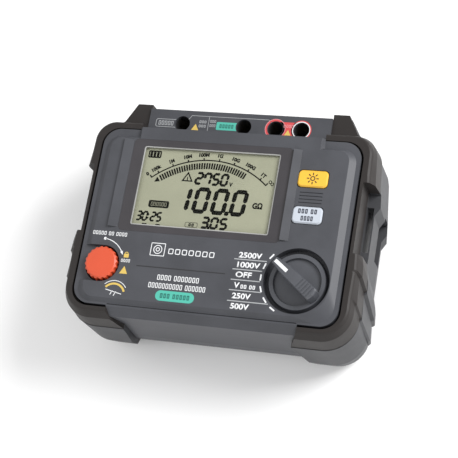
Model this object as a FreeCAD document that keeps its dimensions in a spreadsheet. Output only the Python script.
import FreeCAD, Part
import math
import os

import Sketcher

# Insulation resistance tester, lying on its back with its face up.
# Frame: origin on the resting surface under the middle of the case, +X to the right of
# the face, +Y towards the terminal end, +Z out of the face. All sizes are in millimetres.

document = FreeCAD.newDocument("insulation_tester")
sheet = document.addObject("Spreadsheet::Sheet", "sizes")


class Size:
    """A length that knows both its value and the spreadsheet expression it comes from."""

    def __init__(self, value, text):
        self.value = value
        self.text = text

    def join(self, other, sign, result):
        return Size(result, f"({self.text} {sign} {text_of(other)})")

    def __add__(self, other):
        return self.join(other, "+", self.value + value_of(other))

    def __sub__(self, other):
        return self.join(other, "-", self.value - value_of(other))

    def __mul__(self, other):
        return self.join(other, "*", self.value * value_of(other))

    def __truediv__(self, other):
        return self.join(other, "/", self.value / value_of(other))

    def __radd__(self, other):
        return Size(other + self.value, f"({other} + {self.text})")

    def __rsub__(self, other):
        return Size(other - self.value, f"({other} - {self.text})")

    def __rmul__(self, other):
        return Size(other * self.value, f"({other} * {self.text})")

    def __neg__(self):
        return Size(-self.value, f"(-{self.text})")


def value_of(length):
    return length.value if isinstance(length, Size) else length


def text_of(length):
    return length.text if isinstance(length, Size) else f"({length})"


def cell(alias, value, meaning):
    """Write one driving dimension into the spreadsheet and return it as a Size."""
    row = cell.next_row
    cell.next_row += 1
    sheet.set(f"A{row}", meaning)
    sheet.set(f"B{row}", str(value))
    sheet.setAlias(f"B{row}", alias)
    return Size(float(value), f"sizes.{alias}")


cell.next_row = 1

# ---------------------------------------------------------------- driving dimensions
FACE = cell("face_level", 90, "top of the front face")
RIM = cell("rim_level", 87, "flat border round the raised face")
STRIP = cell("strip_level", 76, "top of the recessed terminal strip")
PARTING = cell("parting_level", 64, "joint between the front and rear cases")
BASE = cell("base_level", 3, "underside of the rear case, above the feet")
WALL = cell("wall", 3, "thickness of the case walls")

CORE_HALF = cell("core_half_width", 100.5, "half width of the case inside the guards")
CORE_NEAR = cell("core_near", -76, "near end of the case core")
CORE_FAR = cell("core_far", 61.9, "far wall of the core, under the step behind the face")
STEP_FAR = cell("step_far", 63.2, "far edge of the raised face, which overhangs the step")
BAND_NEAR = cell("band_near", -82.6, "near wall between the guards")
BAND_FAR = cell("band_far", 84.1, "far wall behind the terminal strip")
STRIP_HALF = cell("strip_half_width", 71.3, "half width of the terminal strip")
GUARD_END_TOP = cell("guard_end_top", 72, "guard end face at the rim")
GUARD_END_MID = cell("guard_end_mid", 64, "guard end face at the parting line")
GROOVE = cell("groove", 0.9, "shadow gap between case and guard")
LIP_GAP = cell("lip_gap", 0.8, "how much wider that gap is at the guards' lips")
LIP = cell("lip", 106.5, "outer side of the guards' lips")
CORNER = cell("corner_radius", 13, "corner radius of the case core")

GUARD_SIDE = cell("guard_side", 110.5, "outer side of the guards at the parting line")
LUG_SIDE = cell("lug_side", 113, "outer side of the guard lugs")
GUARD_NEAR = cell("guard_near", -88.5, "near end of the rear guards")
GUARD_FAR = cell("guard_far", 88.5, "far end of the guards")

LCD_X = cell("lcd_middle_x", -11.7, "middle of the display window")
LCD_Y = cell("lcd_middle_y", 17.5, "middle of the display window")
LCD_W = cell("lcd_width", 106, "visible width of the display")
LCD_D = cell("lcd_depth", 62, "visible depth of the display")
BEZEL_W = cell("bezel_width", 123.6, "outer width of the dark display frame")
BEZEL_D = cell("bezel_depth", 72.2, "outer depth of the dark display frame")
BEZEL_CORNER = cell("bezel_corner", 3.6, "corner radius of the dark display frame")

KNOB_X = cell("knob_x", 67.3, "axis of the range selector")
KNOB_Y = cell("knob_y", -44.9, "axis of the range selector")
WELL = cell("knob_well_radius", 24, "radius of the selector's recess")
DISC = cell("knob_disc_radius", 21.7, "radius of the selector disc")
KNOB_TOP = cell("knob_top", 100, "top of the selector's grip bar")
BAR_FOOT = cell("bar_foot", 84.6, "foot of the grip bar, inside the selector disc")
POINTER = cell("pointer_angle", 143, "direction of the pointer at rest, in degrees")
MARK = (12, 2.6)
MARK_CORNER = (-18.3, -1.3)

TEST_X = cell("test_x", -80.5, "axis of the test button")
TEST_Y = cell("test_y", -45, "axis of the test button")
CAP_R = cell("cap_radius", 12.8, "outer radius of the test button's cap")
CAP_TOP = cell("cap_top", 92.5, "top of the test button's cap")

KEY_X = cell("key_x", 67.7, "middle of both keys")
KEY_W = cell("key_width", 21.9, "width of a key")
KEY_D = cell("key_depth", 12.6, "depth of a key")
KEY_TOP = cell("key_top", 91.3, "top of the keys")
LIGHT_Y = cell("light_key_y", 31.2, "middle of the backlight key")
MODE_Y = cell("mode_key_y", 3.7, "middle of the display key")
KEY_GAP = cell("key_gap", 0.6, "clearance round a key")
KEY_GROOVE_NEAR = cell("key_groove_near", 13.1, "nearest of the four grooves between the keys")
KEY_GROOVE_STEP = cell("key_groove_step", 2.55, "spacing of those grooves")

TERMINAL_Y = cell("terminal_y", 73.4, "row of the terminals")
SHROUD_R = cell("shroud_bore_radius", 6, "bore of a terminal shroud")
SHROUD_FOOT = cell("shroud_foot", 54, "bottom of the terminal shrouds")
CONTACT_R = cell("contact_radius", 2.02, "bore of a brass terminal socket")
CONTACT_FOOT = cell("contact_foot", 36, "bottom of the brass sockets' bores")

BOARD = cell("board_level", 66, "underside of the main board")
HV_BOARD = cell("power_board_level", 43, "underside of the high voltage board")
BOARD_THICK = cell("board_thickness", 1.6, "thickness of the circuit boards")

CELL_R = cell("cell_radius", 12.7, "radius of a battery cell")
CELL_LONG = cell("cell_length", 48.5, "length of a battery cell without its button")
COVER_MARGIN = cell("cover_margin", 9.7, "overlap of the battery cover beyond its ends")
SCREW_SEAT = cell("screw_seat", 14.6, "seat of the case screws' heads")
CELL_PITCH = cell("cell_pitch", 27, "spacing of the battery cells")
TRAY_HALF_W = cell("tray_half_width", 56.5, "inner half width of the battery tray")
TRAY_HALF_D = cell("tray_half_depth", 51.5, "inner half depth of the battery tray")
TRAY_TOP = cell("tray_top", 36, "ceiling of the battery tray")
TRAY_WALL = cell("tray_wall", 1.6, "wall of the battery tray")

TERMINAL_XS = (-44.3, 4.3, 28.9, 48.9)
SCREW_POINTS = ((-92, -67), (92, -67), (-91, 51), (91, 51))
FOOT_POINTS = ((-84, -62), (84, -62), (-82, 56), (82, 56))

nodes = []


# ---------------------------------------------------------------- small modelling tools
def bind(thing, path, length):
    """Drive one property from the spreadsheet, or set it when it is a plain number."""
    if isinstance(length, Size):
        thing.setExpression(path, length.text)
    else:
        thing.setExpression(path, repr(length))


def put(thing, x, y, z, axis=(0, 0, 1), degrees=0):
    thing.Placement = FreeCAD.Placement(
        FreeCAD.Vector(value_of(x), value_of(y), value_of(z)),
        FreeCAD.Rotation(FreeCAD.Vector(*axis), degrees),
    )
    for letter, length in zip("xyz", (x, y, z)):
        bind(thing, f"Placement.Base.{letter}", length)
    return thing


def block(name, width, depth, height, x, y, z):
    """A box centred on x and y that stands on z."""
    box = document.addObject("Part::Box", name)
    bind(box, "Length", width)
    bind(box, "Width", depth)
    bind(box, "Height", height)
    return put(box, x - width / 2, y - depth / 2, z)


def rod(name, radius, height, x, y, z):
    """A cylinder that stands on z."""
    cylinder = document.addObject("Part::Cylinder", name)
    bind(cylinder, "Radius", radius)
    bind(cylinder, "Height", height)
    return put(cylinder, x, y, z)


def rod_along_y(name, radius, length, x, y, z):
    """A cylinder that starts at y and runs towards +Y."""
    cylinder = document.addObject("Part::Cylinder", name)
    bind(cylinder, "Radius", radius)
    bind(cylinder, "Height", length)
    return put(cylinder, x, y, z, axis=(1, 0, 0), degrees=-90)


def cone(name, low_radius, high_radius, height, x, y, z):
    frustum = document.addObject("Part::Cone", name)
    bind(frustum, "Radius1", low_radius)
    bind(frustum, "Radius2", high_radius)
    bind(frustum, "Height", height)
    return put(frustum, x, y, z)


def fuse(name, *shapes):
    joined = document.addObject("Part::MultiFuse", name)
    joined.Shapes = list(shapes)
    joined.Refine = True
    return joined


def group(name, *shapes):
    """Separate solids that share one node."""
    together = document.addObject("Part::Compound", name)
    together.Links = list(shapes)
    return together


def cut(name, base, *tools):
    difference = document.addObject("Part::Cut", name)
    difference.Base = base
    difference.Tool = tools[0] if len(tools) == 1 else fuse(name + "_tools", *tools)
    difference.Refine = True
    return difference


def mirrored(name, source):
    """The same piece on the other side of the YZ plane."""
    twin = document.addObject("Part::Mirroring", name)
    twin.Source = source
    twin.Normal = FreeCAD.Vector(1, 0, 0)
    twin.Base = FreeCAD.Vector(0, 0, 0)
    return twin


def node(label, thing):
    """Declare a finished sub-part: its label is its node and file name."""
    thing.Label = label
    nodes.append(thing)
    return thing


def new_body(name):
    return document.addObject("PartDesign::Body", name)


def origin_plane(body, role):
    return next(plane for plane in body.Origin.OriginFeatures if plane.Role == role)


def corner_arc(before, corner, after, radius):
    """The arc that rounds one corner, from the side that comes before it."""
    to_before = (before - corner).normalize()
    to_after = (after - corner).normalize()
    half_angle = to_before.getAngle(to_after) / 2
    run = radius / math.tan(half_angle)
    inward = (to_before + to_after).normalize()
    centre = corner + inward * (radius / math.sin(half_angle))
    middle = centre - inward * radius
    return corner + to_before * run, middle, corner + to_after * run


def fix_point(sketch, geometry, position, x, y):
    """Hold one point of the sketch at x, y with bound distances from the origin."""
    for kind, length, axis in (("DistanceX", x, -2), ("DistanceY", y, -1)):
        if abs(value_of(length)) < 1e-9:
            sketch.addConstraint(Sketcher.Constraint("PointOnObject", geometry, position, axis))
            continue
        number = sketch.addConstraint(
            Sketcher.Constraint(kind, -1, 1, geometry, position, value_of(length))
        )
        if isinstance(length, Size):
            sketch.setExpression(f"Constraints[{number}]", length.text)


def round_corner(sketch, arc, before, after, corner, radius):
    """Tie an arc to its two lines, with its radius and its sharp corner held."""
    start_end = (1, 2)
    if sketch.getPoint(arc, 1).distanceToPoint(sketch.getPoint(before, 2)) > 1e-6:
        start_end = (2, 1)
    sketch.addConstraint(Sketcher.Constraint("Tangent", before, 2, arc, start_end[0]))
    sketch.addConstraint(Sketcher.Constraint("Tangent", arc, start_end[1], after, 1))
    sketch.addConstraint(Sketcher.Constraint("Radius", arc, radius))
    place = FreeCAD.Vector(value_of(corner[0]), value_of(corner[1]), 0)
    sharp = sketch.addGeometry(Part.Point(place), True)
    sketch.addConstraint(Sketcher.Constraint("PointOnObject", sharp, 1, before))
    sketch.addConstraint(Sketcher.Constraint("PointOnObject", sharp, 1, after))
    fix_point(sketch, sharp, 1, corner[0], corner[1])


def outline(body, name, corners, level=0, plane="XY_Plane"):
    """A closed sketch through corners (x, y) or (x, y, radius), bound to the spreadsheet."""
    sketch = body.newObject("Sketcher::SketchObject", name)
    sketch.AttachmentSupport = [(origin_plane(body, plane), "")]
    sketch.MapMode = "FlatFace"
    bind(sketch, "AttachmentOffset.Base.z", level)
    count = len(corners)
    points = [FreeCAD.Vector(value_of(c[0]), value_of(c[1]), 0) for c in corners]
    arcs = {}
    for index, corner in enumerate(corners):
        if len(corner) == 3:
            neighbours = points[index - 1], points[index], points[(index + 1) % count]
            arcs[index] = corner_arc(*neighbours, value_of(corner[2]))
    for index in range(count):
        after = (index + 1) % count
        start = arcs[index][2] if index in arcs else points[index]
        end = arcs[after][0] if after in arcs else points[after]
        sketch.addGeometry(Part.LineSegment(start, end), False)
    for index, corner in enumerate(corners):
        before = (index - 1) % count
        if index in arcs:
            arc = sketch.addGeometry(Part.Arc(*arcs[index]), False)
            round_corner(sketch, arc, before, index, corner, value_of(corner[2]))
        else:
            sketch.addConstraint(Sketcher.Constraint("Coincident", before, 2, index, 1))
            fix_point(sketch, index, 1, corner[0], corner[1])
    return sketch


def rectangle(left, right, near, far):
    return [(left, near), (right, near), (right, far), (left, far)]


def pad(body, name, corners, level, height, plane="XY_Plane", taper=0):
    feature = body.newObject("PartDesign::Pad", name)
    feature.Profile = outline(body, name + "_outline", corners, level, plane)
    bind(feature, "Length", height)
    feature.TaperAngle = taper
    body.Tip = feature
    return feature


def loft(body, name, sections):
    """A straight-sided loft through outlines given as (level, corners)."""
    sketches = [
        outline(body, f"{name}_{index}", corners, level)
        for index, (level, corners) in enumerate(sections)
    ]
    feature = body.newObject("PartDesign::AdditiveLoft", name)
    feature.Profile = sketches[0]
    feature.Sections = sketches[1:]
    feature.Ruled = True
    body.Tip = feature
    return feature


def round_edges(body, name, radius, chosen):
    """Fillet the edges of the tip that the test picks by their end points."""
    document.recompute()
    tip = body.Tip
    names = []
    for index, edge in enumerate(tip.Shape.Edges):
        ends = [vertex.Point for vertex in edge.Vertexes]
        if len(ends) == 2 and chosen(*ends):
            names.append(f"Edge{index + 1}")
    feature = body.newObject("PartDesign::Fillet", name)
    feature.Base = (tip, names)
    bind(feature, "Radius", radius)
    body.Tip = feature
    return feature


def stands(first, second):
    """True for an edge that runs mostly up and down."""
    flat = math.hypot(first.x - second.x, first.y - second.y)
    return abs(first.z - second.z) > 3 * flat


def rounded_block(name, left, right, near, far, level, height, radius):
    """A block with rounded upright corners."""
    body = new_body(name)
    pad(body, name + "_pad", rectangle(left, right, near, far), level, height)
    round_edges(body, name + "_round", radius, stands)
    return body


def tube(name, outer, inner, height, x, y, z):
    return cut(
        name,
        rod(name + "_outside", outer, height, x, y, z),
        rod(name + "_bore", inner, height + 2, x, y, z - 1),
    )


def centred(x, y, width, depth):
    return x - width / 2, x + width / 2, y - depth / 2, y + depth / 2


# ---------------------------------------------------------------- grey case
def face_plateau(body):
    """Raised middle of the face with sloped flanks, cut square at the terminal step."""
    flank_low = [
        (-96.5, CORE_NEAR + 2.4, 11), (96.5, CORE_NEAR + 2.4, 14), (96.5, CORE_FAR - 5.5, 11),
        (GUARD_END_TOP, CORE_FAR - 5.5), (GUARD_END_TOP - 0.5, STEP_FAR),
        (0.5 - GUARD_END_TOP, STEP_FAR), (-GUARD_END_TOP, CORE_FAR - 5.5),
        (-96.5, CORE_FAR - 5.5, 11),
    ]
    flank_high = [
        (-91.8, CORE_NEAR + 5.5, 9), (91.8, CORE_NEAR + 5.5, 24), (91.8, CORE_FAR - 8, 8),
        (GUARD_END_TOP - 2.5, CORE_FAR - 8), (GUARD_END_TOP - 2.5, STEP_FAR),
        (2.5 - GUARD_END_TOP, STEP_FAR), (2.5 - GUARD_END_TOP, CORE_FAR - 8),
        (-91.8, CORE_FAR - 8, 8),
    ]
    loft(body, "face_plateau", [(RIM - 0.5, flank_low), (RIM, flank_low), (FACE, flank_high)])


def band_sections(levels):
    """Rectangles of the near or far band at several levels: (level, half, near, far)."""
    return [
        (level, rectangle(-half, half, near, far)) for level, half, near, far in levels
    ]


def front_envelope():
    inner_half = CORE_HALF - GROOVE
    core = rounded_block(
        "front_core", -inner_half, inner_half, CORE_NEAR + GROOVE, CORE_FAR,
        PARTING, RIM - PARTING, CORNER,
    )
    plateau = new_body("front_plateau")
    face_plateau(plateau)
    near_band = new_body("front_near_band")
    loft(near_band, "front_near_band_loft", band_sections([
        (PARTING, GUARD_END_MID, BAND_NEAR, CORE_NEAR + 4),
        (RIM - 6, GUARD_END_MID + 5.9, BAND_NEAR + 0.6, CORE_NEAR + 4),
        (RIM, GUARD_END_TOP, CORE_NEAR, CORE_NEAR + 4),
    ]))
    far_band = block(
        "front_far_band", STRIP_HALF * 2, BAND_FAR - CORE_FAR + 3, STRIP - PARTING,
        0, (BAND_FAR + CORE_FAR - 3) / 2, PARTING,
    )
    return fuse("front_envelope", core, plateau, near_band, far_band)


def front_case(envelope):
    inner_half = CORE_HALF - GROOVE - WALL
    cavity = rounded_block(
        "front_cavity", -inner_half, inner_half, CORE_NEAR + GROOVE + WALL, CORE_FAR - WALL,
        PARTING - 1, RIM - WALL - PARTING + 1, CORNER - WALL,
    )
    crown = block(
        "front_cavity_crown", 176, 120, FACE - RIM + 1, 0, -5, RIM - WALL - 1,
    )
    near = block(
        "front_cavity_near", GUARD_END_MID * 2 - 8, 10, 14, 0, BAND_NEAR + WALL + 5, PARTING - 1,
    )
    terminal_room = block(
        "front_cavity_far", STRIP_HALF * 2 - 6, BAND_FAR - WALL - 55, STRIP - PARTING - 2,
        0, (BAND_FAR - WALL + 55) / 2, PARTING - 1,
    )
    shell = cut("front_shell", envelope, fuse("front_room", cavity, crown, near, terminal_room))

    cups = [
        rod("knob_cup", WELL + 2.2, RIM + 0.2 - 80, KNOB_X, KNOB_Y, 80),
        rod("test_cup", CAP_R + 2.4, RIM + 0.2 - 76, TEST_X, TEST_Y, 76),
    ]
    bosses = [
        rod(f"front_boss_{index}", 4, RIM - WALL - PARTING + 1, x, y, PARTING)
        for index, (x, y) in enumerate(SCREW_POINTS, 1)
    ]
    posts = [
        rod(f"board_post_{index}", 3, FACE - WALL - BOARD - BOARD_THICK + 0.5, x, y,
            BOARD + BOARD_THICK)
        for index, (x, y) in enumerate(((-82, 46), (82, 48), (-60, -62), (30, -66)), 1)
    ]
    solid = fuse("front_with_bosses", shell, *cups, *bosses, *posts)

    openings = [
        rod("knob_well", WELL, FACE, KNOB_X, KNOB_Y, 82.6),
        rod("knob_shaft_hole", 4.3, FACE, KNOB_X, KNOB_Y, 70),
        rod("test_well", CAP_R + 1, FACE, TEST_X, TEST_Y, 79),
        rod("test_shaft_hole", 5.3, FACE, TEST_X, TEST_Y, 70),
        block("test_side", 20, (CAP_R + 1) * 2, FACE, TEST_X - 10, TEST_Y, RIM),
        rounded_block(
            "display_opening", *centred(LCD_X, LCD_Y, BEZEL_W + 0.2, BEZEL_D + 0.2), 70, FACE,
            BEZEL_CORNER + 0.1,
        ),
        block(
            "terminal_opening", STRIP_HALF * 2 - 6, BAND_FAR - WALL - CORE_FAR, 6,
            0, (BAND_FAR - WALL + CORE_FAR) / 2, STRIP - 4,
        ),
        block("near_groove", GUARD_END_TOP * 2 - 1, 0.8, 2, 0, CORE_NEAR + 1.6, RIM - 0.9),
    ]
    openings += [
        block(
            f"key_groove_{index}", 17, 0.7, 3,
            KEY_X + 0.3, KEY_GROOVE_NEAR + KEY_GROOVE_STEP * index, FACE - 0.6,
        )
        for index in range(4)
    ]
    for name, y in (("light", LIGHT_Y), ("mode", MODE_Y)):
        openings.append(rounded_block(
            name + "_key_opening",
            *centred(KEY_X, y, KEY_W + KEY_GAP * 2, KEY_D + KEY_GAP * 2), 70, 30, 3.5,
        ))
    openings += [
        rod(f"front_thread_{index}", 1.6, 16, x, y, PARTING - 1)
        for index, (x, y) in enumerate(SCREW_POINTS, 1)
    ]
    return node("front_case", cut("front_case", solid, *openings))


def far_pod(grow, far):
    """Outline of the rear case's far end: the full band with sloped shoulders."""
    shoulder = CORE_FAR + 8
    return [
        (grow - 97, 50), (97 - grow, 50), (97 - grow, CORE_FAR), (88 - grow, shoulder),
        (80.5 - grow, far), (grow - 80.5, far), (grow - 88, shoulder), (grow - 97, CORE_FAR),
    ]


def rear_envelope():
    core = rounded_block(
        "rear_core", -CORE_HALF, CORE_HALF, CORE_NEAR, CORE_FAR, BASE, PARTING - BASE, CORNER,
    )
    near_band = new_body("rear_near_band")
    loft(near_band, "rear_near_band_loft", band_sections([
        (BASE, GUARD_END_TOP + 1, CORE_NEAR + 2, CORE_NEAR + 4),
        (BASE + 4, GUARD_END_TOP + 0.5, CORE_NEAR - 3, CORE_NEAR + 4),
        (BASE + 11, GUARD_END_TOP - 0.5, BAND_NEAR + 0.6, CORE_NEAR + 4),
        (BASE + 27, GUARD_END_MID + 4.5, BAND_NEAR - 0.6, CORE_NEAR + 4),
        (PARTING, GUARD_END_MID, BAND_NEAR, CORE_NEAR + 4),
    ]))
    far_end = new_body("rear_far_band")
    loft(far_end, "rear_far_band_loft", [
        (BASE, far_pod(3, BAND_FAR - 8)), (BASE + 8, far_pod(0, BAND_FAR)),
        (PARTING, far_pod(0, BAND_FAR)),
    ])
    return fuse("rear_envelope", core, near_band, far_end)


def seal_ring():
    """Square rubber cord that follows the parting line just inside the outer face."""
    half = CORE_HALF - GROOVE - 1
    outside = rounded_block(
        "seal_outside", -half, half, CORE_NEAR + GROOVE + 1, CORE_FAR - 1,
        PARTING - 0.8, 0.8, CORNER - 1,
    )
    inside = rounded_block(
        "seal_inside", 1 - half, half - 1, CORE_NEAR + GROOVE + 2, CORE_FAR - 2,
        PARTING - 5, 10, CORNER - 2,
    )
    return node("case_seal", cut("case_seal", outside, inside))


def rear_case(envelope, seal):
    floor = BASE + WALL
    inner_half = CORE_HALF - WALL
    cavity = rounded_block(
        "rear_cavity", -inner_half, inner_half, CORE_NEAR + WALL, CORE_FAR - WALL,
        floor, PARTING, CORNER - WALL,
    )
    terminal_room = block(
        "rear_cavity_far", STRIP_HALF * 2 - 6, BAND_FAR - WALL - 55, PARTING,
        0, (BAND_FAR - WALL + 55) / 2, floor + 6,
    )
    pod_rooms = [
        block(f"pod_room_{index}", 8, 18, 46, side * 76.5, 71, 12)
        for index, side in enumerate((-1, 1), 1)
    ]
    shell = cut("rear_shell", envelope, fuse("rear_room", cavity, terminal_room), *pod_rooms)

    bosses = [
        rod(f"rear_boss_{index}", 5, PARTING - BASE, x, y, BASE)
        for index, (x, y) in enumerate(SCREW_POINTS, 1)
    ]
    posts = [
        rod(f"power_board_post_{index}", 3.5, HV_BOARD - BASE, x, y, BASE)
        for index, (x, y) in enumerate(((-76, -60), (76, -60), (-76, 52), (76, 52)), 1)
    ]
    nut_posts = [
        rod(f"cover_boss_{index}", 3.5, 10, x, y, BASE + 1.6)
        for index, (x, y) in enumerate(cover_screw_points(), 1)
    ]
    solid = fuse("rear_with_bosses", shell, *bosses, *posts, *nut_posts)

    tools = [
        seal,
        block("battery_opening", TRAY_HALF_W * 2, TRAY_HALF_D * 2, 20, 0, 0, -1),
        block(
            "cover_rebate", TRAY_HALF_W * 2 + 10, TRAY_HALF_D * 2 + COVER_MARGIN * 2 + 0.6,
            3.2, 0, 0, BASE - 1,
        ),
    ]
    for index, (x, y) in enumerate(SCREW_POINTS, 1):
        tools.append(rod(f"screw_clearance_{index}", 1.9, 80, x, y, 0))
        tools.append(rod(f"screw_counterbore_{index}", 3.4, SCREW_SEAT, x, y, 0))
    for index, (x, y) in enumerate(FOOT_POINTS, 1):
        tools.append(rod(f"foot_pocket_{index}", 7, 2.5, x, y, 2))
    for index, (x, y) in enumerate(cover_screw_points(), 1):
        tools.append(rod(f"cover_thread_{index}", 1.3, 12, x, y, 0))
    return node("rear_case", cut("rear_case", solid, *tools))


def cover_screw_points():
    reach = TRAY_HALF_D + 5.7
    return [(x, y) for x in (-38, 38) for y in (-reach, reach)]


# ---------------------------------------------------------------- corner guards
def guard_plan(end, near, side, proud, corner, steps, far_corner):
    """Plan of the right guard. It bulges at two treads, and each tread drops off in a step
    that faces the near end: steps gives the near ends of the two near treads and of the far one."""
    near_step, middle_step, far_step = steps
    return [
        (end, -60), (end, near), (side, near, corner), (side, near_step - 1.5),
        (proud - 1, near_step), (side + 0.4, middle_step - 2.5), (side, middle_step - 1.5),
        (proud, middle_step), (proud - 0.6, middle_step + 9), (side - 1.1, middle_step + 20),
        (side - 1.1, far_step - 6), (proud, far_step), (proud - 0.6, far_step + 7),
        *far_corner, (STRIP_HALF, 40),
    ]


def rounded_far_corner(side, far, radius):
    return [(side, far, radius), (STRIP_HALF, far)]


def sloped_far_corner(side, far):
    return [(side, 58), (100, far - 10), (91.4, far), (STRIP_HALF, far)]


def near_gap(name, floor):
    """What the case's near wall leaves between the two near guards, with slanted sides."""
    gap = new_body(name)
    near = GUARD_NEAR - 6
    far = CORE_NEAR + 4
    loft(gap, name + "_loft", band_sections([
        (floor, GUARD_END_TOP + 1, near, far), (BASE + 11, GUARD_END_TOP - 0.5, near, far),
        (PARTING, GUARD_END_MID, near, far), (RIM - 6, GUARD_END_MID + 5.9, near, far),
        (RIM + 1, GUARD_END_TOP + 0.3, near, far),
    ]))
    return gap


def front_guard(envelope):
    ring = new_body("front_guard_ring")
    lip = LIP - 0.6
    loft(ring, "front_guard_ring_loft", [
        (PARTING, guard_plan(
            60, -86.6, GUARD_SIDE, LUG_SIDE - 0.4, 24, (-60.5, -41, 24), rounded_far_corner(109, 70, 17),
        )),
        (RIM - 7, guard_plan(
            60, -84.2, 109.2, 111.4, 22, (-55, -35, 30), rounded_far_corner(108, 69.4, 16),
        )),
        (RIM - 2.2, guard_plan(
            60, -80.9, lip + 1.4, lip + 2.6, 19.4, (-52, -32, 33), rounded_far_corner(107.2, 68, 15.2),
        )),
        (RIM - 0.9, guard_plan(
            60, -79.9, lip + 0.6, lip + 1.6, 18.6, (-52, -32, 33), rounded_far_corner(106.2, 67.4, 14.6),
        )),
        (RIM - 0.3, guard_plan(
            60, -78.6, lip - 0.7, lip + 0.2, 17.6, (-52, -32, 33), rounded_far_corner(104.9, 66.4, 13.6),
        )),
    ])
    ear = new_body("front_guard_ear")
    pad(ear, "front_guard_ear_pad", [
        (STRIP_HALF, 55), (STRIP_HALF, GUARD_FAR - 0.5), (83.3, GUARD_FAR - 0.5),
        (91.4, 73.2), (100, 67.5), (100, 55),
    ], PARTING, STRIP - 2 - PARTING)
    strap = block("front_strap_notch", 20, 53, 40, 113.6, 6.2, PARTING - 1)
    opening = rounded_block(
        "front_guard_inside", -CORE_HALF, CORE_HALF, CORE_NEAR, CORE_FAR, PARTING - 5, 60, CORNER,
    )
    shadow_gap = rounded_block(
        "front_guard_gap", -CORE_HALF - LIP_GAP, CORE_HALF + LIP_GAP, CORE_NEAR - LIP_GAP,
        CORE_FAR + LIP_GAP, RIM - 4, 10, CORNER + LIP_GAP,
    )
    solid = fuse("front_guard_solid", ring, ear)
    return cut(
        "front_guard", solid, envelope, opening, shadow_gap, strap,
        near_gap("front_near_gap", BASE - 1),
    )


def rear_guard(envelope):
    skirt = new_body("rear_guard_skirt")
    loft(skirt, "rear_guard_loft", [
        (BASE, guard_plan(
            60, CORE_NEAR - 3, 102.5, 104.4, 18, (-66, -52, 10), sloped_far_corner(101, 68),
        )),
        (BASE + 7, guard_plan(
            60, GUARD_NEAR + 3, 108, 110.4, 22, (-66, -52, 12), sloped_far_corner(106, 75),
        )),
        (BASE + 24, guard_plan(
            60, GUARD_NEAR, GUARD_SIDE, LUG_SIDE, 24, (-67.5, -52, 18), sloped_far_corner(108, 77),
        )),
        (PARTING, guard_plan(
            60, -87, GUARD_SIDE, LUG_SIDE, 24, (-62, -42.5, 23), sloped_far_corner(108.6, 76),
        )),
    ])
    ear = new_body("rear_guard_ear")
    low = [(STRIP_HALF, 55), (STRIP_HALF, GUARD_FAR - 8), (81, GUARD_FAR - 8),
           (89, 70), (97, 64), (97, 55)]
    high = [(STRIP_HALF, 55), (STRIP_HALF, GUARD_FAR), (83.3, GUARD_FAR),
            (91.4, 74), (100, 67.5), (100, 55)]
    loft(ear, "rear_guard_ear_loft", [(BASE, low), (BASE + 9, high), (PARTING, high)])
    slot = block("rear_strap_slot", 5, 34, 60, 106, 5.5, 20)
    below = block("rear_strap_mouth", 14, 34, 20, 110.5, 5.5, 20)
    above = block("rear_strap_step", 20, 53, 6, 113.6, 6.2, PARTING - 3)
    return cut(
        "rear_guard", fuse("rear_guard_solid", skirt, ear), envelope, slot, below, above,
        near_gap("rear_near_gap", BASE - 1),
    )


def guards(front_shape, rear_shape):
    front = node("front_guard_right", front_guard(front_shape))
    node("front_guard_left", mirrored("front_guard_left", front))
    rear = node("rear_guard_right", rear_guard(rear_shape))
    node("rear_guard_left", mirrored("rear_guard_left", rear))


# ---------------------------------------------------------------- display
def display():
    frame = rounded_block(
        "bezel_plate", *centred(LCD_X, LCD_Y, BEZEL_W, BEZEL_D), FACE - 6, 6, BEZEL_CORNER,
    )
    sight = rounded_block("bezel_sight", *centred(LCD_X, LCD_Y, LCD_W, LCD_D), FACE - 10, 14, 1.6)
    seat = block("bezel_seat", LCD_W + 10, LCD_D + 8, 6, LCD_X, LCD_Y, FACE - 6.8)
    node("display_bezel", cut("display_bezel", frame, sight, seat))
    node("display_window", block(
        "display_window", LCD_W + 9.6, LCD_D + 7.6, 1.6, LCD_X, LCD_Y, FACE - 2.5,
    ))
    node("display_glass", block(
        "display_glass", LCD_W + 5, LCD_D + 5, 1.1, LCD_X, LCD_Y, FACE - 3.8,
    ))
    node("display_light_guide", block(
        "display_light_guide", LCD_W + 4, LCD_D + 4, 2.6, LCD_X, LCD_Y, FACE - 6.6,
    ))
    holder_foot = FACE - 12.4
    tray = block("display_tray_block", LCD_W + 9.4, LCD_D + 7.4, 8, LCD_X, LCD_Y, holder_foot)
    pocket = block(
        "display_tray_pocket", LCD_W + 4.2, LCD_D + 4.2, 8, LCD_X, LCD_Y, holder_foot + 3,
    )
    node("display_holder", cut("display_holder", tray, pocket))
    board_top = BOARD + BOARD_THICK
    strips = [
        block(
            f"contact_strip_{index}", LCD_W - 6, 2.2, holder_foot - board_top,
            LCD_X, LCD_Y + side * (LCD_D / 2 - 2), board_top,
        )
        for index, side in enumerate((-1, 1), 1)
    ]
    node("display_contact_strips", group("display_contact_strips", *strips))


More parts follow.
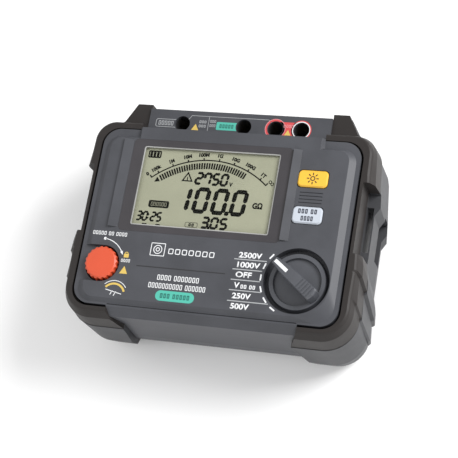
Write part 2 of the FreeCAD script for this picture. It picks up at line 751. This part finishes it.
# ---------------------------------------------------------------- terminals
def terminals():
    panel_d = BAND_FAR - WALL - CORE_FAR
    panel_y = (BAND_FAR - WALL + CORE_FAR) / 2
    plate = block("terminal_plate", STRIP_HALF * 2 - 6, panel_d, 2.4, 0, panel_y, STRIP - 2.4)
    holes = [
        rod(f"terminal_hole_{index}", SHROUD_R, 10, x, TERMINAL_Y, STRIP - 5)
        for index, x in enumerate(TERMINAL_XS, 1)
    ]
    node("terminal_panel", cut("terminal_panel", plate, *holes))

    block_body = block(
        "terminal_block_body", 112, 15.4, 5, 2.3, TERMINAL_Y, SHROUD_FOOT - 5,
    )
    ledge_holes = [
        rod(f"block_hole_{index}", 3.1, 10, x, TERMINAL_Y, SHROUD_FOOT - 8)
        for index, x in enumerate(TERMINAL_XS, 1)
    ]
    node("terminal_block", cut("terminal_block", block_body, *ledge_holes))

    shroud_height = STRIP - 2.4 - SHROUD_FOOT
    shrouds = [
        tube(
            f"shroud_{index}", SHROUD_R + 1.4, SHROUD_R, shroud_height,
            x, TERMINAL_Y, SHROUD_FOOT,
        )
        for index, x in enumerate(TERMINAL_XS, 1)
    ]
    node("terminal_shrouds", group("terminal_shrouds", *shrouds))

    for index, x in enumerate(TERMINAL_XS, 1):
        stem = rod(
            f"socket_stem_{index}", 3.1, SHROUD_FOOT - CONTACT_FOOT + 3,
            x, TERMINAL_Y, CONTACT_FOOT - 3,
        )
        collar = rod(f"socket_collar_{index}", 4.6, 1.2, x, TERMINAL_Y, SHROUD_FOOT - 6.2)
        bore = rod(f"socket_bore_{index}", CONTACT_R, 40, x, TERMINAL_Y, CONTACT_FOOT)
        socket = cut(f"terminal_socket_{index}", fuse(f"socket_{index}", stem, collar), bore)
        node(f"terminal_socket_{index}", socket)

    # The leads run just above the board, under the collars of the sockets.
    leads = []
    foot = HV_BOARD + BOARD_THICK
    rise = 1.8
    for index, x in enumerate(TERMINAL_XS, 1):
        run = rod_along_y(f"lead_run_{index}", 1.1, TERMINAL_Y - 3.1 - 56, x, 56, foot + rise)
        drop = rod(f"lead_drop_{index}", 1.1, rise, x, 56, foot)
        elbow = document.addObject("Part::Sphere", f"lead_elbow_{index}")
        bind(elbow, "Radius", 1.1)
        put(elbow, x, 56, foot + rise)
        leads.append(fuse(f"lead_{index}", run, drop, elbow))
    node("terminal_leads", group("terminal_leads", *leads))


# ---------------------------------------------------------------- circuit boards
def boards():
    top = HV_BOARD + BOARD_THICK
    node("main_board", block("main_board", 172, 122, BOARD_THICK, 0, -8, BOARD))
    node("high_voltage_board", block("high_voltage_board", 168, 124, BOARD_THICK, 0, -4, HV_BOARD))
    node("step_up_transformer", fuse(
        "step_up_transformer",
        block("transformer_core", 34, 28, 18, -55, -35, top),
        block("transformer_coil", 22, 34, 14, -55, -35, top + 1.5),
    ))
    capacitors = [
        rod(f"capacitor_{column}_{row}", 6.5, 18, -58 + 15 * column, 10 + 16 * row, top)
        for column in range(3) for row in range(2)
    ]
    node("high_voltage_capacitors", group("high_voltage_capacitors", *capacitors))
    resistors = [
        rod_along_y(f"resistor_{index}", 2.4, 18, 5 + 8 * index, 12, top + 2.6)
        for index in range(4)
    ]
    node("discharge_resistors", group("discharge_resistors", *resistors))
    relays = [block(f"relay_{index}", 13, 22, 14, 52 + 17 * index, 34, top) for index in range(2)]
    node("discharge_relays", group("discharge_relays", *relays))
    node("input_fuse", rod_along_y("input_fuse", 2.9, 26, 30, -45, top + 4))
    clips = [
        cut(
            f"fuse_clip_{index}", block(f"clip_{index}", 8, 4, 8, 30, y, top),
            rod_along_y(f"clip_bore_{index}", 2.9, 20, 30, y - 10, top + 4),
        )
        for index, y in enumerate((-41, -23), 1)
    ]
    node("fuse_clips", group("fuse_clips", *clips))
    node("buzzer", rod("buzzer", 8, 9, 62, -20, top))
    chips = [
        block("processor_chip", 14, 14, 1.6, -5, 10, BOARD + BOARD_THICK),
        block("memory_chip", 8, 6, 1.4, 20, 2, BOARD + BOARD_THICK),
        block("measuring_chip", 10, 7, 1.5, -30, 4, BOARD + BOARD_THICK),
    ]
    node("main_board_chips", group("main_board_chips", *chips))
    headers = [
        block(f"header_{index}", 6, 30, BOARD - HV_BOARD - BOARD_THICK, x, -50, top)
        for index, x in enumerate((-12, 2), 1)
    ]
    node("board_connectors", group("board_connectors", *headers))


# ---------------------------------------------------------------- battery compartment
def battery_compartment():
    ceiling = TRAY_TOP + TRAY_WALL
    outside = block(
        "tray_outside", TRAY_HALF_W * 2 + TRAY_WALL * 2, TRAY_HALF_D * 2 + TRAY_WALL * 2,
        ceiling - BASE - WALL, 0, 0, BASE + WALL,
    )
    inside = block(
        "tray_inside", TRAY_HALF_W * 2, TRAY_HALF_D * 2, TRAY_TOP - BASE, 0, 0, BASE,
    )
    node("battery_tray", cut("battery_tray", outside, inside))

    cell_level = BASE + 2.3 + CELL_R
    first_cell = 4 - TRAY_HALF_D
    batteries = []
    springs = []
    plates = []
    for column in range(4):
        x = CELL_PITCH * (column - 1.5)
        for row, y in enumerate((first_cell, first_cell + CELL_LONG + 0.1)):
            can = rod_along_y(f"can_{column}_{row}", CELL_R, CELL_LONG - 1.5, x, y, cell_level)
            button = rod_along_y(
                f"button_{column}_{row}", 3.2, CELL_LONG, x, y, cell_level,
            )
            batteries.append(fuse(f"battery_{column}_{row}", can, button))
        spring = cone(f"battery_spring_{column}", 5.5, 3, 3.9, x, -TRAY_HALF_D, cell_level)
        springs.append(put(spring, x, -TRAY_HALF_D, cell_level, axis=(1, 0, 0), degrees=-90))
        plates.append(fuse(
            f"battery_contact_{column}",
            block(f"contact_plate_{column}", 12, 0.6, 12, x, TRAY_HALF_D - 0.3, cell_level - 6),
            rod_along_y(
                f"contact_dimple_{column}", 2, 1.6, x, TRAY_HALF_D - 1.7, cell_level,
            ),
        ))
    node("battery_cells", group("battery_cells", *batteries))
    node("battery_springs", group("battery_springs", *springs))
    node("battery_contacts", group("battery_contacts", *plates))

    cover = block(
        "cover_plate", TRAY_HALF_W * 2 + 9.4, TRAY_HALF_D * 2 + COVER_MARGIN * 2, 2.2, 0, 0, BASE,
    )
    opening_lip = block(
        "cover_lip", TRAY_HALF_W * 2 - 1, TRAY_HALF_D * 2 - 1, 2.25, 0, 0, BASE,
    )
    holes = []
    screws = []
    for index, (x, y) in enumerate(cover_screw_points(), 1):
        holes.append(rod(f"cover_hole_{index}", 1.7, 10, x, y, 0))
        holes.append(rod(f"cover_counterbore_{index}", 2.9, 4.2, x, y, 0))
        head = rod(f"cover_screw_head_{index}", 2.6, 1, x, y, BASE + 0.2)
        shank = rod(f"cover_screw_shank_{index}", 1.3, 6, x, y, BASE + 0.2)
        screws.append(fuse(f"cover_screw_{index}", head, shank))
    finger_grip = block("cover_grip", 40, 12, 1.2, 0, -40, BASE - 0.2)
    node("battery_cover", cut(
        "battery_cover", fuse("cover_solid", cover, opening_lip), finger_grip, *holes,
    ))
    node("cover_screws", group("cover_screws", *screws))


# ---------------------------------------------------------------- case fittings
def case_fittings():
    screws = []
    for index, (x, y) in enumerate(SCREW_POINTS, 1):
        head_foot = SCREW_SEAT - 2.6
        head = rod(f"case_screw_head_{index}", 3.1, 2.6, x, y, head_foot)
        shank = rod(f"case_screw_shank_{index}", 1.6, 62, x, y, head_foot)
        slot = block(f"case_screw_slot_{index}", 4, 1, 2.4, x, y, head_foot - 1)
        screws.append(cut(f"case_screw_{index}", fuse(f"screw_{index}", head, shank), slot))
    node("case_screws", group("case_screws", *screws))
    feet = []
    for index, (x, y) in enumerate(FOOT_POINTS, 1):
        base = cone(f"foot_base_{index}", 6.2, 7, 1.5, x, y, 0)
        stem = rod(f"foot_stem_{index}", 7, 3, x, y, 1.5)
        feet.append(fuse(f"foot_{index}", base, stem))
    node("rubber_feet", group("rubber_feet", *feet))


# ---------------------------------------------------------------- range selector
def on_pointer(thing):
    """Turn something drawn along the X axis into the pointer's direction on the knob."""
    return put(thing, KNOB_X, KNOB_Y, BAR_FOOT, degrees=POINTER.value - 180)


def pointer_bar(bar_top):
    foot_plan = [
        (-19.8, -2.6, 1), (-9, -4.3), (18.8, -4.9, 1.5), (19.8, 0), (18.8, 4.9, 1.5),
        (-9, 4.3), (-19.8, 2.6, 1),
    ]
    top_plan = [
        (-19.2, -2.2, 1), (-9, -3.7), (17.6, -4.3, 1.5), (18.6, 0), (17.6, 4.3, 1.5),
        (-9, 3.7), (-19.2, 2.2, 1),
    ]
    bar = new_body("bar")
    loft(bar, "bar_loft", [(0, foot_plan), (bar_top - 1.2, foot_plan), (bar_top, top_plan)])
    return bar


def selector():
    disc_low = FACE - 6.8
    bar_top = KNOB_TOP - BAR_FOOT
    mark_low = bar_top - 0.5
    rim_ring = cone("disc_rim", DISC, DISC - 1.2, 4.2, KNOB_X, KNOB_Y, disc_low)
    dish = cone("disc_dish", DISC - 4.8, DISC - 3.6, 4, KNOB_X, KNOB_Y, disc_low + 2)
    bar = on_pointer(pointer_bar(bar_top))
    grooves = [
        put(block(f"grip_groove_{index}", 1.1, 12, 2, 0, 0, 0), 6 + 2.5 * index, -6, mark_low)
        for index in range(5)
    ]
    mark_slot = put(block("mark_slot", *MARK, 2, 0, 0, 0), *MARK_CORNER, mark_low)
    cuts = on_pointer(group("bar_cuts", *grooves, mark_slot))
    shaft_bore = rod("knob_bore", 3.05, 8, KNOB_X, KNOB_Y, disc_low - 1)
    solid = fuse("knob_solid", cut("knob_disc", rim_ring, dish), bar)
    node("selector_knob", cut("selector_knob", solid, cuts, shaft_bore))

    inlay = put(block("mark_inlay", *MARK, 0.5, 0, 0, 0), *MARK_CORNER, mark_low)
    node("pointer_mark", on_pointer(group("pointer_mark", inlay)))

    node("selector_shaft", rod("selector_shaft", 3, 90 - 71, KNOB_X, KNOB_Y, 70.5))
    node("selector_rotor", cut(
        "selector_rotor", rod("rotor_disc", 9, 1.6, KNOB_X, KNOB_Y, 74),
        rod("rotor_bore", 3, 6, KNOB_X, KNOB_Y, 72),
    ))
    stator_foot = BOARD + BOARD_THICK
    body = rod("stator_body", 12, 77.5 - stator_foot, KNOB_X, KNOB_Y, stator_foot)
    room = rod("stator_room", 9.6, 2.6, KNOB_X, KNOB_Y, 73.4)
    bore = rod("stator_bore", 3.06, 20, KNOB_X, KNOB_Y, 70.2)
    node("selector_switch", cut("selector_switch", body, room, bore))


# ---------------------------------------------------------------- test button
def test_button():
    flutes = 20
    cap = cone("cap_body", CAP_R, CAP_R - 0.5, CAP_TOP - FACE + 7, TEST_X, TEST_Y, FACE - 7)
    crown = cone("cap_crown", CAP_R - 0.5, CAP_R - 2, 1, TEST_X, TEST_Y, CAP_TOP - 1)
    low = cut("cap_low", cap, rod("cap_trim", CAP_R + 2, 2, TEST_X, TEST_Y, CAP_TOP - 1))
    notches = []
    for index in range(flutes):
        angle = 2 * math.pi * index / flutes
        reach = CAP_R.value + 0.4
        notches.append(rod(
            f"flute_{index}", 1.6, 18, TEST_X + reach * math.cos(angle),
            TEST_Y + reach * math.sin(angle), FACE - 6,
        ))
    bore = rod("cap_bore", 3.05, 6, TEST_X, TEST_Y, FACE - 8)
    node("test_button_cap", cut(
        "test_button_cap", fuse("cap_solid", low, crown), fuse("flutes", *notches), bore,
    ))
    stem = rod("plunger_stem", 3, FACE - 2.4 - 72, TEST_X, TEST_Y, 72)
    flange = rod("plunger_flange", 4.9, 1.4, TEST_X, TEST_Y, 76.2)
    node("test_plunger", fuse("test_plunger", stem, flange))
    node("test_spring", tube("test_spring", 4.6, 3.4, 76 - 71.9, TEST_X, TEST_Y, 72.1))
    switch_foot = BOARD + BOARD_THICK
    body = block("test_switch_body", 12, 12, 72 - switch_foot, TEST_X, TEST_Y, switch_foot)
    well = rod("test_switch_well", 3.4, 6, TEST_X, TEST_Y, 68.6)
    node("test_switch", cut("test_switch", body, well))


# ---------------------------------------------------------------- keys
def keys():
    switches = []
    for name, y in (("backlight_key", LIGHT_Y), ("display_key", MODE_Y)):
        cap = rounded_block(
            name + "_cap", *centred(KEY_X, y, KEY_W, KEY_D), FACE - 5.4, KEY_TOP - FACE + 4.4, 3.2,
        )
        crown = new_body(name + "_crown")
        half_w = KEY_W / 2
        half_d = KEY_D / 2
        loft(crown, name + "_crown_loft", [
            (KEY_TOP - 1, [
                (KEY_X - half_w, y - half_d, 3.2), (KEY_X + half_w, y - half_d, 3.2),
                (KEY_X + half_w, y + half_d, 3.2), (KEY_X - half_w, y + half_d, 3.2),
            ]),
            (KEY_TOP, [
                (KEY_X - half_w + 0.9, y - half_d + 0.9, 2.4),
                (KEY_X + half_w - 0.9, y - half_d + 0.9, 2.4),
                (KEY_X + half_w - 0.9, y + half_d - 0.9, 2.4),
                (KEY_X - half_w + 0.9, y + half_d - 0.9, 2.4),
            ]),
        ])
        flange = block(name + "_flange", KEY_W + 3, KEY_D + 3, 1.2, KEY_X, y, FACE - 5.6)
        stem = rod(name + "_stem", 2, FACE - 5 - 72.6, KEY_X, y, 72.6)
        node(name, fuse(name, cap, crown, flange, stem))
        body = block(name + "_switch", 7, 7, 3.4, KEY_X, y, BOARD + BOARD_THICK)
        switches.append(body)
    node("key_switches", group("key_switches", *switches))


def checked_nodes():
    """Recompute, and refuse to go on if any object failed or any piece is unsound."""
    document.recompute()
    failed = [
        thing.Name for thing in document.Objects
        if "Invalid" in thing.State or "Error" in thing.State
    ]
    failed += [
        thing.Label for thing in nodes
        if thing.Shape.isNull() or not thing.Shape.isValid() or not thing.Shape.Solids
    ]
    if failed:
        raise RuntimeError("these did not build: " + ", ".join(sorted(set(failed))))
    return nodes


def build():
    front_shape = front_envelope()
    rear_shape = rear_envelope()
    front_case(front_shape)
    rear_case(rear_shape, seal_ring())
    guards(front_shape, rear_shape)
    display()
    terminals()
    boards()
    battery_compartment()
    case_fittings()
    selector()
    test_button()
    keys()


build()
os.makedirs("parts", exist_ok=True)
for piece in checked_nodes():
    piece.Shape.exportStep(f"parts/{piece.Label}.step")
    box = piece.Shape.BoundBox
    print(
        f"{piece.Label:26s} {len(piece.Shape.Solids):3d} solids {piece.Shape.Volume / 1000:7.1f} cm3"
        f"  x {box.XMin:7.1f} {box.XMax:6.1f}  y {box.YMin:7.1f} {box.YMax:6.1f}"
        f"  z {box.ZMin:6.1f} {box.ZMax:6.1f}"
    )
